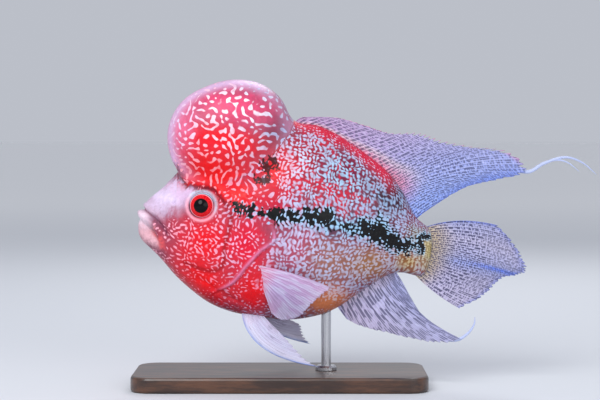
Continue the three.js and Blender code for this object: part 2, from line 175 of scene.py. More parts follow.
def step(value, low, high, fromZero=0.0, toOne=1.0):
    given = {"Value": value, "From Min": low, "From Max": high, "To Min": fromZero, "To Max": toOne}
    return add(value.id_data, "MapRange", given, interpolation_type="SMOOTHSTEP").outputs[0]


def blend(share, first, second, kind="MIX"):
    # a colour mix has its share at input 0 and its two colours at inputs 6 and 7
    made = add(treeOf(share, first, second), "Mix", {0: share}, data_type="RGBA", blend_type=kind)
    for k, colour in ((6, first), (7, second)):
        put(made, k, colour if isinstance(colour, bpy.types.NodeSocket) else (*colour, 1))
    return made.outputs[2]


def read(tree, name, output="Color"):
    return add(tree, "Attribute", attribute_name=name).outputs[output]


def mapped(vector, scale, **others):
    return add(vector.id_data, "Mapping", {"Vector": vector, "Scale": scale, **others}).outputs["Vector"]


def ownPlace(tree):
    return add(tree, "TexCoord").outputs["Object"]


def levelPlace(tree):
    # Object coordinates turned into the fish's level millimetres
    down = Matrix.Rotation(-pose["noseUp"], 3, "Y") @ Vector((0, 0, -pose["axisHeight"]))
    return mapped(ownPlace(tree), (1000, 1000, 1000), Location=down, Rotation=(0, -pose["noseUp"], 0))


def noise(vector, scale, detail=2.0, roughness=0.5, output="Fac"):
    given = {"Vector": vector, "Scale": scale, "Detail": detail, "Roughness": roughness}
    return add(vector.id_data, "TexNoise", given).outputs[output]


def gabor(vector, spacing, even, turn=0.0, waves=1.6):
    # flat soft waves with crests a given distance apart; even 0 is a maze, 1 is straight stripes
    given = {"Vector": vector, "Scale": 1 / (spacing * waves), "Frequency": waves, "Anisotropy": even,
             "Orientation": turn}
    return add(vector.id_data, "TexGabor", given, gabor_type="2D").outputs["Value"]


def relief(surface, height, distance, strength=1.0):
    bump = add(surface.id_data, "Bump", {"Strength": strength, "Distance": distance, "Height": height})
    put(surface, "Normal", bump.outputs["Normal"])


print("tools ready")

# Skin: one surface over all the flesh
skinForm = {
    "voxel": 0.92, "grow": 0.25, "rounds": 46, "firmness": 0.5,
    "meltWidth": 90, "meltFrom": (-78, -62), "meltRounds": 260, "meltPace": 0.6,
    "seamHalf": 1.2, "finishRounds": 2, "finishPace": 0.35,
}
fleshNodes = ["head", "lower_jaw", "nuchal_hump", "gill_cover_left", "gill_cover_right", "torso",
              "tail_stalk"]
face = {
    "eye": (-51.2, 6.2), "eyeRim": 9.6, "nostril": (-69.5, 5.4),
    "slit": [(-94, 1.0), (-87.4, -2.6), (-81.3, -6), (-75, -10.6), (-71, -16)],
    "gillEdge": [(-22, 16), (-14, 12), (-6, 4), (-1, -8.4), (-9, -17), (-16.6, -28), (-24, -40),
        (-34, -47.5)],
    "gillFront": [(-31, 4), (-31.6, -6), (-33, -18), (-32.2, -28), (-36, -33.6), (-44, -34.6),
        (-57, -32)],
    "brow": [(-74.5, 28.6), (-71, 24.6), (-64.5, 18.6), (-57, 16.6), (-48, 17), (-41, 13.6), (-36, 7)],
    "browWidth": (4, 12), "mouthEnd": -60, "crease": (1.4, 3.2), "creaseFrom": (-66, -76),
    "throatFolds": [[(-58 + 9 * k, -37 - 4.2 * k), (-44 + 8 * k, -41 - 3.4 * k), (-30 + 6 * k, -49 - 2 * k)]
                    for k in range(4)],
}


def inflated(source, distance):
    bm = bmesh.new()
    bm.from_mesh(source)
    bmesh.ops.remove_doubles(bm, verts=bm.verts, dist=2e-6)
    bm.normal_update()
    for v in bm.verts:
        v.co += v.normal * distance / 1000
    return bm


def neighbourMean(mesh):
    edges = np.zeros(len(mesh.edges) * 2, int)
    mesh.edges.foreach_get("vertices", edges)
    a, b = edges.reshape(-1, 2).T
    start, end = np.concatenate([a, b]), np.concatenate([b, a])
    count = np.bincount(start, minlength=len(mesh.vertices))

    def mean(values):
        sums = [np.bincount(start, values[end, k], len(count)) for k in range(values.shape[1])]
        return np.stack(sums, 1) / count[:, None]
    return mean


def lineDistance(x, z, line):
    # distance to a line in the side view, and how far the point lies to the line's left
    best = np.full(len(x), 1e9)
    side = np.zeros(len(x))
    for (ax, az), (bx, bz) in zip(line[:-1], line[1:]):
        dx, dz = bx - ax, bz - az
        length = math.hypot(dx, dz)
        t = np.clip(((x - ax) * dx + (z - az) * dz) / length ** 2, 0, 1)
        gap = np.hypot(x - ax - t * dx, z - az - t * dz)
        nearer = gap < best
        best = np.where(nearer, gap, best)
        side = np.where(nearer, ((z - az) * dx - (x - ax) * dz) / length, side)
    return best, side


def curve(line, count=24):
    return [tuple(p) for p in through(line, np.linspace(0, 1, count))]


def faceLine(name, px, pz):
    return lineDistance(px, pz, curve(face[name]))


def bell(gap, width):
    return np.exp(-(gap / width) ** 2)


def surfaceDistance(names, points):
    bm = bmesh.new()
    for name in names:
        bm.from_mesh(nodes[name].data)
    tree = BVHTree.FromBMesh(bm)
    bm.free()
    return np.array([tree.find_nearest(Vector(p))[3] for p in points]) * 1000


def keepOuterShell(bm):
    left = set(bm.verts)
    shells = []
    while left:
        start = left.pop()
        shell, todo = {start}, [start]
        while todo:
            for edge in todo.pop().link_edges:
                for v in edge.verts:
                    if v not in shell:
                        shell.add(v)
                        todo.append(v)
        left -= shell
        shells.append(shell)
    largest = max(shells, key=len)
    inner = [v for v in bm.verts if v not in largest]
    bmesh.ops.delete(bm, geom=inner, context="VERTS")


def makeSkin():
    joined = bmesh.new()
    for name in fleshNodes:
        mesh = meshOf("part", inflated(nodes[name].data, skinForm["grow"]))
        joined.from_mesh(mesh)
        bpy.data.meshes.remove(mesh)
    skin = newObject("fishSkin", meshOf("fishSkin", joined))
    remesh = skin.modifiers.new("remesh", "REMESH")
    remesh.mode = "VOXEL"
    remesh.voxel_size = skinForm["voxel"] / 1000
    remesh.use_smooth_shade = True
    done = bpy.data.meshes.new_from_object(skin.evaluated_get(bpy.context.evaluated_depsgraph_get()))
    skin.modifiers.clear()
    skin.data = done
    bm = bmesh.new()
    bm.from_mesh(done)
    keepOuterShell(bm)
    bm.to_mesh(done)
    bm.free()
    points = corners(done)
    mean = neighbourMean(done)
    for _ in range(skinForm["rounds"]):
        points += skinForm["firmness"] * (mean(points) - points)
    setCorners(done, points)
    return skin, mean


skin, skinMean = makeSkin()
skinPoints = corners(skin.data)
humpGap = surfaceDistance(["nuchal_hump"], skinPoints)
fleshGap = surfaceDistance([n for n in fleshNodes if n != "nuchal_hump"], skinPoints)
seam = humpGap ** 2 + fleshGap ** 2
# behind the eye the hump runs into the nape without a fold
melt = np.exp(-seam / skinForm["meltWidth"]) * smooth(*skinForm["meltFrom"], toLevel(skinPoints)[:, 0])
for _ in range(skinForm["meltRounds"]):
    skinPoints += skinForm["meltPace"] * melt[:, None] * (skinMean(skinPoints) - skinPoints)
setCorners(skin.data, skinPoints)
level = toLevel(skinPoints)
x, y, z = level.T
halfWide = np.abs(y)
outward = np.zeros(len(x) * 3)
skin.data.vertices.foreach_get("normal", outward)
outward = outward.reshape(-1, 3)
onHump = smooth(-skinForm["seamHalf"], skinForm["seamHalf"], fleshGap - humpGap)
print("skin", len(skinPoints), "points")

# How high each form stands over the skin, how far from its line it lies and how wide it is
faceRelief = {
    "browRidge": (1.5, 3.0, 3.0), "browFold": (-0.9, 0, 1.2),
    "slit": (-2.3, 0, 0.95), "upperLip": (1.0, 2.4, 1.5), "lowerLip": (2.6, -3.4, 2.3),
    "chinFold": (-0.9, -7.4, 1.3), "throatFold": (-0.35, 0, 1.0),
    "gillEdge": (0.75, 0, 3.4), "gillStep": (-0.95, 0, 1.5), "gillFront": (-0.55, 0, 1.1),
    "eyeRim": (0.5, 0.6, 1.3), "eyeGroove": (-0.3, 4.0, 2.0),
    "nostril": (-1.5, 0, 1.0), "nostrilRim": (0.45, 2.1, 0.7),
}
# how far from the slit each form of the mouth reaches, and where it starts and is full
mouthForms = {"upperLip": (6, -70, -78), "lowerLip": (7, -70, -78), "chinFold": (11, -72, -80)}


def raised(name, gap):
    height, middle, width = faceRelief[name]
    return height * bell(gap - middle, width)


def sculptFace():
    # displacement along the normals, in millimetres
    depth, width = face["crease"]
    move = -depth * np.exp(-seam / width) * smooth(*face["creaseFrom"], x)
    browGap, browSide = faceLine("brow", x, z)
    move += raised("browRidge", browGap) * (browSide > 0) * smooth(*face["browWidth"], halfWide)
    move += raised("browFold", browGap)
    front = x < face["mouthEnd"]
    gap, above = faceLine("slit", x, z)
    move += raised("slit", gap) * front
    for name, (reach, start, full) in mouthForms.items():
        move += raised(name, above) * (gap < reach) * front * smooth(start, full, x)
    edgeGap, edgeSide = faceLine("gillEdge", x, z)
    behind = edgeSide > 0
    move += raised("gillEdge", edgeGap) * ~behind
    move += raised("gillStep", edgeGap) * behind
    frontGap, _ = faceLine("gillFront", x, z)
    move += raised("gillFront", frontGap)
    ex, ez = face["eye"]
    fromRim = np.hypot(x - ex, z - ez) - face["eyeRim"]
    move += raised("eyeRim", fromRim) + raised("eyeGroove", fromRim)
    nx, nz = face["nostril"]
    pit = np.hypot(x - nx, z - nz)
    move += raised("nostril", pit) + raised("nostrilRim", pit)
    for fold in face["throatFolds"]:
        foldGap, _ = lineDistance(x, z, curve(fold))
        move += raised("throatFold", foldGap)
    return move


moved = skinPoints + outward * sculptFace()[:, None] / 1000
for _ in range(skinForm["finishRounds"]):
    moved += skinForm["finishPace"] * (skinMean(moved) - moved)
setCorners(skin.data, moved)

# Markings, laid one over the other: each tone's middle, reach, turn, ground colour and mark colour
analRidge = ((63.5, -37), (23, 4.6), 47, (222, 200, 214), (236, 224, 236))
tones = [
    ((10, 44), (26, 26), 0, (164, 12, 44), (196, 212, 240)),
    ((38, 38), (24, 24), 0, (116, 18, 56), (162, 206, 236)),
    ((68, 29), (20, 20), 0, (44, 30, 46), (146, 176, 212)),
    ((12, -14), (24, 20), 0, (172, 74, 100), (204, 196, 230)),
    ((37, -19), (22, 20), 0, (156, 104, 92), (188, 190, 220)),
    ((62, -16), (20, 16), 0, (154, 104, 66), (190, 178, 190)),
    ((40, 6), (46, 9), 0, (40, 34, 62), (158, 204, 236)),
    ((36, -44), (28, 14), 0, (216, 128, 84), (222, 188, 184)),
    analRidge,
    ((88, -10), (14, 12), 0, (142, 96, 52), (192, 172, 132)),
    ((90, 6), (12, 10), 0, (106, 88, 70), (172, 184, 196)),
    ((101, -2), (7, 20), 0, (150, 130, 84), (204, 190, 140)),
    ((-2, 14), (16, 16), 0, (176, 30, 66), (196, 200, 232)),
    ((-8, 36), (16, 22), 0, (222, 10, 26), (232, 186, 208)),
    ((-44, -16), (34, 28), 0, (230, 6, 26), (250, 164, 188)),
    ((-18, -14), (17, 27), 0, (222, 18, 52), (246, 180, 214)),
    ((-10, -42), (18, 22), 0, (230, 4, 20), (246, 132, 160)),
    ((-42, -42), (34, 18), -22, (234, 2, 14), (250, 124, 146)),
    ((-30, 18), (26, 16), 0, (232, 6, 18), (250, 160, 178)),
]
humpTones = [
    ((-46, 28), (48, 30), 0, (234, 4, 10), (248, 150, 160)),
    ((-42, 50), (40, 14), 0, (234, 18, 36), (250, 208, 222)),
    ((-40, 72), (40, 16), 0, (230, 72, 116), (255, 246, 253)),
    ((-70, 54), (14, 26), 0, (226, 104, 140), (224, 212, 242)),
]
paleTones = [
    ((-76, 8), (23, 15), 28, (224, 204, 234), None),
    ((-60, 12), (13, 9), 0, (216, 184, 218), None),
    ((-88, -8), (8, 11), 0, (250, 222, 238), None),
    ((-84, -18), (9, 7), -30, (246, 190, 200), None),
    ((-76, -20), (8, 3.4), -48, (240, 92, 96), None),
]
# the dark row: the place of each blotch and its half sizes
flowerRow = [
    (-29, 8.8, 3.8, 3.6), (-21, 6.6, 3.8, 4.2), (-13, 7, 2.2, 2.6), (-4, 6.8, 4.4, 4.8), (6, 6.2, 4.6, 4.4),
    (16, 8, 6.0, 5.4), (26, 8.2, 7.6, 6.2), (40, 5.4, 4.6, 2.8), (52, 5.0, 6.4, 5.2), (63, 6.2, 8.6, 7.4),
    (74, 0.6, 6.8, 5.0), (84, -1.8, 6.0, 4.6), (94.6, 2.4, 3.4, 5.2),
]
smudge = [(-12, 36, 3.6, 4.4), (-8, 43, 2.6, 4), (-15, 28, 3.4, 3)]
throat = ((-42, -46), (40, 14), -20)
skinTints = {
    "base": (132, 70, 92), "flankMark": (170, 180, 216), "faceMark": (250, 170, 192),
    "back": (214, 34, 66), "backMark": (232, 186, 216), "patch": (206, 20, 52), "rim": (224, 186, 226),
    # fold is painted shade: dark red laid in the crease along the brow
    "haloAbove": (196, 224, 244), "haloBelow": (250, 176, 196), "fold": (92, 20, 34),
    # slit is painted shade: dark laid in the mouth slit between the lips
    "slit": (120, 50, 80), "gillFront": (150, 6, 22), "gillEdge": (234, 150, 196),
}
# the fold and slit shares set how strong the painted shade is in the brow's crease and the mouth slit
tintShares = {"back": 0.9, "patch": 0.8, "rim": 0.85, "halo": 0.75, "fold": 0.75, "slit": 0.85,
              "gillFront": 0.75, "gillEdge": 0.8}
# where each zone begins and where it is full, in level millimetres
zoneEdges = {
    "backWidth": (13, 5), "backHeight": (20, 34), "backStart": (-6, 2), "backEnd": (76, 60),
    "streakStart": (4, 14), "streakEnd": (62, 50), "patchGrain": (0.1, 0.8), "patchHeight": (8, 16),
    "patchEnd": (64, 40), "face": (-30, -50), "underBrow": (1.4, -1.4), "forehead": (-30, -44),
    "snout": (-54, -61), "bareSnout": (-54, -60), "rimWidth": (21, 12), "rimPeak": (0, 11),
    "rimHeight": (16, 34), "rimEnd": (-12, -28), "haloTop": (-3, 5), "bandTop": (2, -8),
    "bandEnd": (-48, -40), "flankStart": (-6, 0), "flankOffHump": (0.3, 0.7), "flankBottom": (-52, -40),
    "napeHeight": (9, 12), "napeStart": (-44, -38), "foreheadWorms": (-36, -42),
}
markForm = {
    # fold and slit: how wide the painted shade is along the brow's crease and in the mouth slit
    "wobble": {"seed": 7, "waves": 7, "pace": 0.28, "along": 2.4, "up": 2.0},
    "fold": 1.6, "slit": 0.8, "slitEnd": -69, "gillFront": 1.5,
    "streak": {"height": 31.5, "slope": 0.133, "width": 1.4},
    "halo": {"radius": 9.4, "width": 1.0},
    "gillBand": {"away": 1.0, "width": 1.1, "strength": 0.8},
    "cuts": {"back": 0.22, "streaks": 0.14, "analRidge": 0.3, "throat": 0.16, "rim": 0.1},
    "rowTop": 1.25, "smudgeTop": 1.1,
    "wrap": {"level": 2, "halfWidth": 24, "share": 0.8, "fade": 14},
    "humpMap": {"middle": (-42, 50), "radius": 30, "halfWidth": 28},
    "shift": 15,
}


def inside(place, tone, soft=0.62):
    (cx, cz), (rx, rz), turn = tone[:3]
    a = math.radians(turn)
    px, pz = place[0] - cx, place[1] - cz
    u = (px * math.cos(a) + pz * math.sin(a)) / rx
    w = (pz * math.cos(a) - px * math.sin(a)) / rz
    return smooth(1.25, 1.25 - 2 * soft, np.hypot(u, w))


def zone(name, value):
    return smooth(*zoneEdges[name], value)


def tinted(base, share, colour):
    return base + share[:, None] * (colour - base)


def raggedPlace():
    # the side view, shaken a little so that the borders between tones are ragged
    form = markForm["wobble"]
    rough = np.random.default_rng(form["seed"])
    waves = [np.sin(level @ rough.normal(0, form["pace"], 3) + rough.uniform(0, 6))
             for _ in range(form["waves"])]
    wobble = sum(waves) / 2.6
    return x + form["along"] * wobble, z + form["up"] * np.roll(wobble, 911), wobble


def findZones(px, pz, wobble):
    # how much each point belongs to each zone, from 0 to 1
    found = {}
    offHump = 1 - onHump
    found["back"] = zone("backWidth", halfWide) * zone("backHeight", z) * zone("backStart", x) * offHump
    found["back"] *= zone("backEnd", x)
    # red shows through the upper flank in patches, most of all along the middle line of the scales
    streak, halo, gillBand = markForm["streak"], markForm["halo"], markForm["gillBand"]
    fromStreak = pz - streak["height"] + streak["slope"] * px
    found["streaks"] = bell(fromStreak, streak["width"]) * zone("streakStart", x) * zone("streakEnd", x)
    found["patches"] = zone("patchGrain", np.roll(wobble, 333)) * zone("patchHeight", z)
    found["patches"] *= zone("patchEnd", x) * offHump
    browGap, browSide = faceLine("brow", px, pz)
    found["belowBrow"] = zone("underBrow", np.sign(browSide) * browGap)
    # painted shade in the crease along the brow
    found["fold"] = bell(browGap, markForm["fold"])
    # the hump's crest is pale where light comes through its rim
    found["rim"] = onHump * zone("rimWidth", halfWide) * (0.5 + 0.5 * zone("rimPeak", halfWide))
    found["rim"] *= zone("rimHeight", z) * (0.35 + 0.65 * zone("rimEnd", x))
    ex, ez = face["eye"]
    fromEye = np.hypot(x - ex, z - ez)
    found["halo"] = tintShares["halo"] * bell(fromEye - halo["radius"], halo["width"])
    found["haloTop"] = zone("haloTop", z - ez + 0.4 * (x - ex))
    # painted shade in the mouth slit between the lips
    slitGap, _ = faceLine("slit", x, z)
    found["slit"] = bell(slitGap, markForm["slit"]) * (x < markForm["slitEnd"])
    frontGap, _ = faceLine("gillFront", x, z)
    found["gillFront"] = bell(frontGap, markForm["gillFront"])
    # the pale membrane at the gill cover's edge
    edgeGap, edgeSide = faceLine("gillEdge", x, z)
    band = bell(edgeGap - gillBand["away"], gillBand["width"]) * (edgeSide < 0.5)
    found["gillEdge"] = gillBand["strength"] * band * zone("bandTop", z) * zone("bandEnd", z)
    pale = np.max([inside((px, pz), tone, 0.4) for tone in paleTones], 0)
    found["pale"] = pale * found["belowBrow"] * zone("bareSnout", px)
    found["flank"] = zone("flankStart", px + 0.2 * np.abs(pz - 8)) * (1 - zone("flankOffHump", onHump))
    found["flank"] *= zone("flankBottom", pz)
    found["nape"] = np.maximum(zone("napeHeight", pz + 0.25 * px) * zone("napeStart", px),
            (1 - found["belowBrow"]) * zone("foreheadWorms", px))
    return found


def paintSkin(px, pz, found):
    tints = {name: linear(rgb) for name, rgb in skinTints.items()}
    onFace = zone("face", x)[:, None]
    ground = np.tile(tints["base"], (len(x), 1))
    mark = (1 - onFace) * tints["flankMark"] + onFace * tints["faceMark"]

    def lay(layers, only):
        nonlocal ground, mark
        for tone in layers:
            share = inside((px, pz), tone) * only
            ground = tinted(ground, share, linear(tone[3]))
            if tone[4]:
                mark = tinted(mark, share, linear(tone[4]))

    lay(tones, 1 - onHump)
    share = tintShares["back"] * found["back"]
    ground = tinted(ground, share, tints["back"])
    mark = tinted(mark, share, tints["backMark"])
    share = tintShares["patch"] * np.clip(found["streaks"] + found["patches"], 0, 1) * (1 - onHump)
    ground = tinted(ground, share, tints["patch"])
    lay(humpTones, onHump)
    lay(humpTones[:2], (1 - onHump) * (1 - found["belowBrow"]) * zone("forehead", px))
    lay(paleTones, found["belowBrow"] * zone("snout", px))
    ground = tinted(ground, tintShares["rim"] * found["rim"], tints["rim"])
    # a light ring around the eye, blue above and pink below
    above = found["haloTop"][:, None]
    ring = above * tints["haloAbove"] + (1 - above) * tints["haloBelow"]
    ground = tinted(ground, found["halo"], ring)
    # fold and slit lay painted shade, in the brow's crease and in the mouth slit
    for name in ("fold", "slit", "gillFront", "gillEdge"):
        ground = tinted(ground, tintShares[name] * found[name], tints[name])
    return ground, mark


def weighPatterns(px, pz, found):
    # how strongly worms, net and dashes show
    cut = markForm["cuts"]
    ridge = inside((px, pz), analRidge, 0.4)
    solid = 1 - cut["back"] * found["back"] - cut["streaks"] * found["streaks"] - cut["analRidge"] * ridge
    worm = np.clip(onHump + found["nape"], 0, 1) * (1 - found["flank"])
    net = (1 - worm) * (1 - found["pale"]) * (1 - found["flank"]) * (1 - found["halo"])
    net *= 1 - cut["throat"] * inside((px, pz), throat)
    worm *= 1 - cut["rim"] * found["rim"]
    return np.stack([worm, net * (1 - found["gillEdge"]), found["flank"] * solid], 1)


def blotches(px, pz, spots, top):
    field = np.full(len(x), -1.0)
    for bx, bz, rx, rz in spots:
        field = np.maximum(field, top - np.hypot((px - bx) / rx, (pz - bz) / rz))
    return np.clip(0.5 + 0.5 * field, 0, 1)


def patternPlace():
    wrap, humpMap = markForm["wrap"], markForm["humpMap"]
    fromLine = z - wrap["level"]
    beyond = wrap["share"] * (halfWide - wrap["halfWidth"]) * smooth(0, wrap["fade"], np.abs(fromLine))
    around = z - np.sign(fromLine) * beyond
    # over the hump the pattern spreads from the middle of each side
    cx, cz = humpMap["middle"]
    radius = humpMap["radius"]
    dx, dz = x - cx, z - cz
    away = np.hypot(dx, dz) + 1e-6
    spread = radius * np.arctan2(away, halfWide * radius / humpMap["halfWidth"]) / away
    mapX = x + onHump * (cx + dx * spread - x)
    mapZ = around + onHump * (cz + dz * spread - around)
    # the two sides are not each other's mirror image
    shift = markForm["shift"] * smooth(-10, 10, y)
    return np.stack([mapX + shift, mapZ + shift, y], 1)


def markSkin():
    px, pz, wobble = raggedPlace()
    found = findZones(px, pz, wobble)
    ground, mark = paintSkin(px, pz, found)
    row = blotches(px, pz, flowerRow, markForm["rowTop"])
    smear = blotches(px, pz, smudge, markForm["smudgeTop"])
    ink = np.stack([row, smear, found["rim"]], 1)
    weights = weighPatterns(px, pz, found)
    for name, values in (("ground", ground), ("mark", mark), ("weights", weights), ("ink", ink)):
        attribute(skin.data, name, "FLOAT_COLOR", values)
    attribute(skin.data, "place", "FLOAT_VECTOR", patternPlace())


markSkin()
print("markings laid")

# Marks: the spacing of their crests, where a mark begins, how far its zone's weight lowers that, how
# ragged its outline is and how soft its border
marksLook = {
    "worms": {"spacing": 4.3, "waves": 2.0, "edge": 1.2, "drop": 0.62, "ragged": 0.18,
              "border": (-0.04, 0.04)},
    "net": {"spacing": 3.0, "waves": 1.8, "edge": 1.205, "drop": 0.62, "ragged": 0.3,
            "border": (-0.07, 0.07)},
    "dashes": {"edge": 1.17, "drop": 0.66, "ragged": 0.3, "border": (-0.08, 0.1)},
}
dashForm = {"even": 0.3, "upright": (2.7, 0.42), "lying": (2.5, 0.2), "scaleSize": (0.40, 0.31, 0.40),
            "scaleShare": 0.38}
skinLook = {
    "wander": 7.0, "mottle": (0.9, 1.04), "markStrength": (0.62, 1.0), "roughness": (0.32, 0.5),
    "glow": (150, 196, 228), "ink": (3, 4, 9), "smear": (34, 6, 12),
    "relief": {"distance": 0.0007, "strength": 0.55},
}


def markMask(field, weight, broken, look):
    edge = minus(look["edge"], times(weight, look["drop"]))
    edge = plus(edge, swing(broken, look["ragged"]))
    return step(minus(field, edge), *look["border"])


def dashField(tree, flat):
    # dashes follow the middles of the scales, upright more often than lying
    upSpacing, upShare = dashForm["upright"]
    lyingSpacing, lyingShare = dashForm["lying"]
    upright = gabor(flat, upSpacing, dashForm["even"])
    lying = gabor(flat, lyingSpacing, dashForm["even"], math.pi / 2)
    cells = mapped(flat, dashForm["scaleSize"])
    scales = add(tree, "TexVoronoi", {"Vector": cells, "Scale": 1.0, "Randomness": 0.5},
                 voronoi_dimensions="2D")
    middle = minus(1.02, times(scales.outputs["Distance"], 1.25))
    wavy = plus(times(upright, upShare), times(lying, lyingShare))
    return plus(wavy, times(middle, dashForm["scaleShare"])), middle


def skinMaterial():
    made, tree, surface = newMaterial("wetSkin", Roughness=0.4, Specular_IOR_Level=0.2,
                                      Coat_Weight=0.06, Coat_Roughness=0.15)
    place = levelPlace(tree)
    away = noise(place, 0.11, 1.5, output="Color")
    swung = add(tree, "VectorMath", {0: away, 1: (-0.5, -0.5, -0.5)}, operation="ADD").outputs[0]
    shift = add(tree, "VectorMath", {0: swung, "Scale": skinLook["wander"]}, operation="SCALE").outputs[0]
    flat = read(tree, "place", "Vector")
    flat = add(tree, "VectorMath", {0: flat, 1: shift}, operation="ADD").outputs[0]
    weights = add(tree, "SeparateColor", {"Color": read(tree, "weights")}).outputs
    fields = add(tree, "SeparateColor", {"Color": read(tree, "ink")}).outputs
    broken = noise(place, 0.16, 1.0)

    masks = []
    for weight, name in ((weights[0], "worms"), (weights[1], "net")):
        look = marksLook[name]
        lines = gabor(flat, look["spacing"], 0.0, waves=look["waves"])
        masks.append(markMask(lines, weight, broken, look))
    dashes, middle = dashField(tree, flat)
    dashMask = markMask(dashes, weights[2], broken, marksLook["dashes"])
    marks = calc("MAXIMUM", calc("MAXIMUM", *masks), dashMask)

    mottle = step(noise(place, 0.5, 3.0, 0.6), 0.3, 0.7, *skinLook["mottle"])
    mottle = add(tree, "CombineColor", {0: mottle, 1: mottle, 2: mottle}).outputs[0]
    ground = blend(1.0, read(tree, "ground"), mottle, "MULTIPLY")
    strength = step(noise(place, 0.33, 2.0), 0.25, 0.7, *skinLook["markStrength"])
    colour = blend(times(marks, strength), ground, read(tree, "mark"))
    # blotches, whose edges follow the dashes, inside a pale blue line
    ragged = plus(swing(dashes, 1.3), swing(noise(place, 0.45, 2.0), 0.5))
    ink = minus(fields[0], ragged)
    smear = minus(fields[1], ragged)
    glow = times(times(step(ink, 0.3, 0.5), marks), 0.8)
    for share, name in ((glow, "glow"), (step(ink, 0.56, 0.62), "ink"),
            (times(step(smear, 0.5, 0.62), 0.92), "smear")):
        colour = blend(share, colour, linear(skinLook[name]))
    put(surface, "Base Color", colour)

    # each scale stands a little proud, and the marks lie a little lower
    height = times(middle, times(weights[2], 0.7))
    height = plus(height, times(marks, -0.2))
    height = plus(height, times(noise(place, 1.1, 3.0), 0.25))
    relief(surface, height, **skinLook["relief"])
    rough = step(noise(place, 0.8, 2.0), 0.3, 0.7, *skinLook["roughness"])
    put(surface, "Roughness", rough)
    return made


skin.data.materials.clear()
skin.data.materials.append(skinMaterial())
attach(skin, "root")
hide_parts(*fleshNodes)

# Fins: rays from the leading to the trailing edge, each as root, the point it bends towards, and tip
finBase = {"ray": 0.75, "tip": 0.45, "web": 0.34, "sink": 4}
finForms = {
    "dorsalFin": {
        "node": "dorsal_fin", "rays": 46, "grid": (420, 60), "notch": 0.03, "wave": (2.0, 7),
        "spines": (0.3, 0.62, 0.07),
        "stations": [
            (-1, 0, 66, 2, 0, 70.6, 6, 0, 71.8), (12, 0, 66.5, 20, 0, 71.5, 28, 1, 74.2),
            (25, 0, 62.5, 36, 0, 68, 46, 2, 71.8), (38, 0, 57.6, 52, 0, 64, 63, 3, 69.3),
            (50, 0, 52, 68, 0, 62, 82, 4, 72), (60, 0, 46, 80, 0, 60, 96, 5, 69.4),
            (67, 0, 41, 92, 1, 62, 118, 6, 67.8), (72, 0, 37, 100, 1, 60, 140, 6, 68.2),
            (76, 0, 33, 106, 2, 54, 155, 5, 57.4), (80, 0, 28, 104, 2, 46, 137, 3, 49),
            (84, 0, 22, 98, 1, 36, 117, 1, 41.4), (87.5, 0, 16.5, 92, 0, 22, 97, 0, 26)],
        "tones": [(0.0, (180, 136, 184)), (0.3, (168, 146, 196)), (0.5, (150, 148, 204)),
            (0.75, (142, 158, 222)), (1.0, (110, 142, 222))],
    },
    "caudalFin": {
        "node": "caudal_fin", "rays": 30, "grid": (270, 72), "notch": 0.022, "wave": (2.0, 9),
        "stations": [
            (95, 0, 12.4, 114, -1, 22.4, 140, -5, 19.6), (97, 0, 8.6, 120, -1, 15, 152.6, -5, 9),
            (98.6, 0, 4.4, 122, -1, 7, 159.4, -3, 0.8), (99, 0, 0, 124, 0, 0.6, 163.4, 0, -6.6),
            (99, 0, -4, 124, 1, -5, 159, 4, -10.6), (99, 0, -8, 122, 1, -11.6, 149, 6, -14.4),
            (98, 0, -12, 116, 2, -18, 143, 6, -22.4), (96, 0, -16, 112, 2, -25, 136.6, 5, -29.6),
            (91, 0, -19.6, 106, 1, -31.4, 124, 3, -38)],
        "tones": [(0.0, (152, 156, 206)), (0.2, (176, 170, 204)), (0.45, (162, 164, 212)),
            (0.55, (140, 152, 216)), (0.7, (170, 164, 202)), (1.0, (182, 172, 206))],
    },
    "analFin": {
        "node": "anal_fin", "rays": 30, "grid": (270, 64), "notch": 0.03, "wave": (1.5, 8),
        "stations": [
            (44, 0, -47, 48, 0, -51.6, 52, 0, -55), (50, 0, -42, 56, 0, -50.4, 63, -1, -58.4),
            (56, 0, -36.6, 66, 0, -49, 79, -2, -60), (62, 0, -31, 76, -1, -49, 98, -4, -61.4),
            (67, 0, -26.6, 84, -2, -48, 114, -6, -61), (70.6, 0, -23.8, 88, -2, -46, 127, -7, -57),
            (73, 0, -21.8, 88, -2, -40, 118.6, -6, -56), (75.6, 0, -20, 86, -1, -34, 105, -4, -50.6),
            (78, 0, -18.6, 83, 0, -24, 91, 0, -35.6)],
        "tones": [(0.0, (190, 172, 206)), (0.4, (178, 174, 214)), (0.7, (160, 162, 208)),
            (1.0, (172, 176, 222))],
    },
}
pelvicStations = {
    "left": [(-17, 6, -58, -10.5, 12, -87, 38, 17, -86), (-14.2, 6.4, -58, -6, 12, -83, 31, 16, -84),
        (-11, 6.8, -58, -1.6, 11.6, -77.6, 24, 14, -79.4), (-7.6, 7, -58, 1.4, 11, -70, 16.5, 12, -73.4),
        (-4, 7, -58, 2, 9, -63, 9, 10, -67.8)],
    "right": [(-16, 6, -58, -2, 13, -74, 31.4, 19, -76.4), (-12.6, 6.4, -58, 2, 13, -72, 26.6, 18, -72.6),
        (-9, 6.8, -58, 6, 12, -69, 24, 16, -68), (-5.6, 7, -58, 8, 11, -64.4, 22, 14, -64),
        (-2, 7, -58, 6, 9, -60.6, 15, 11.4, -61.4)],
}
pectoralRays = [(-10, -26, 8, 14, -26.4, 38, 12, -33.4), (-8.6, -29, 8, 12, -33, 31.6, 13, -40),
        (-7.4, -32, 7, 8, -39, 26, 13, -47.4), (-6.4, -35, 6, 4, -45, 20.4, 12.6, -55.4),
        (-5.4, -38, 4, 0, -49, 10, 11, -59.4), (-4.6, -41, 2, -2, -47, 2.6, 8, -55.6)]
sides = {"left": -1, "right": 1}
flankTree = BVHTree.FromPolygons([Vector(p) for p in level],
        [tuple(p.vertices) for p in skin.data.polygons])


def flankAt(px, pz, side):
    # how far the flank stands from the middle; 6 mm where the line from the side misses it
    hit = flankTree.ray_cast(Vector((px, side * 80, pz)), Vector((0, -side, 0)))[0]
    return abs(hit.y) if hit else 6.0


